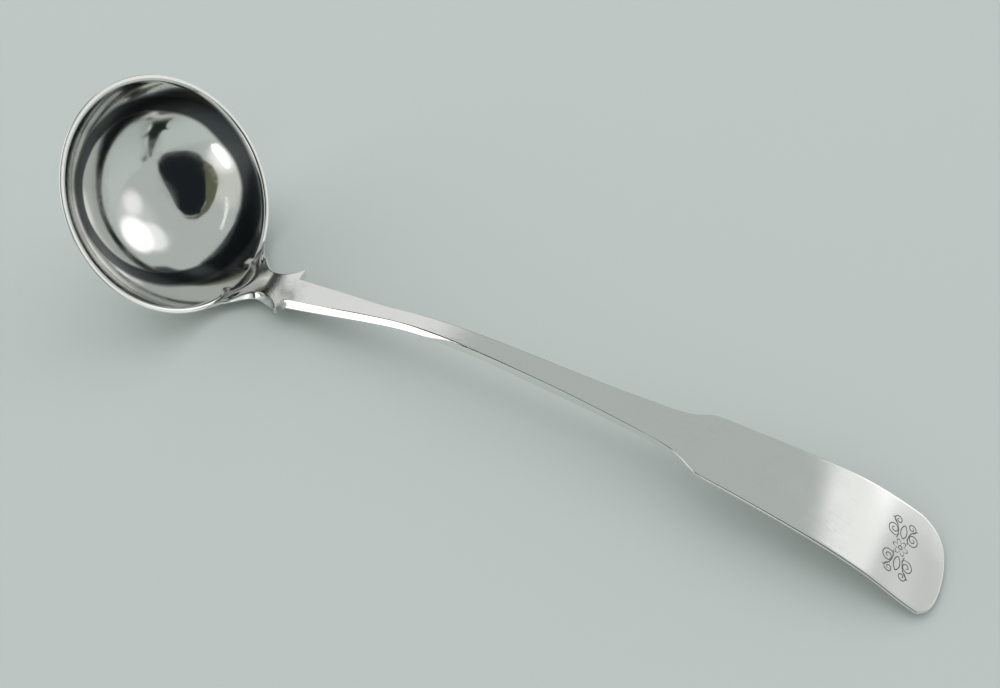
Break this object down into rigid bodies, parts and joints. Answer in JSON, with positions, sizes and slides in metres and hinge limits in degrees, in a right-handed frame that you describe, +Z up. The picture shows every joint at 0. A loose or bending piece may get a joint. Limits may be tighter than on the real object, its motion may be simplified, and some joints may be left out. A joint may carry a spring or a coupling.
{
  "type": "toddy ladle",
  "caption": "Small round-bowled toddy ladle in polished silver, with an arched slender stem that broadens to a flat oar-shaped end turned down at the tip and pointed wings at the bowl.",
  "frame": {"origin": "on the table under the middle of the overall length, on the mirror plane", "axes": "+X runs along the length from the bowl to the turned-down end, +Y across it, +Z up off the table it lies on"},
  "size_m": [0.1644, 0.0434, 0.0368],
  "materials": {
    "silver": "polished"
  },
  "bodies": {
    "root": {"ladle": "silver"}
  },
  "joints": []
}
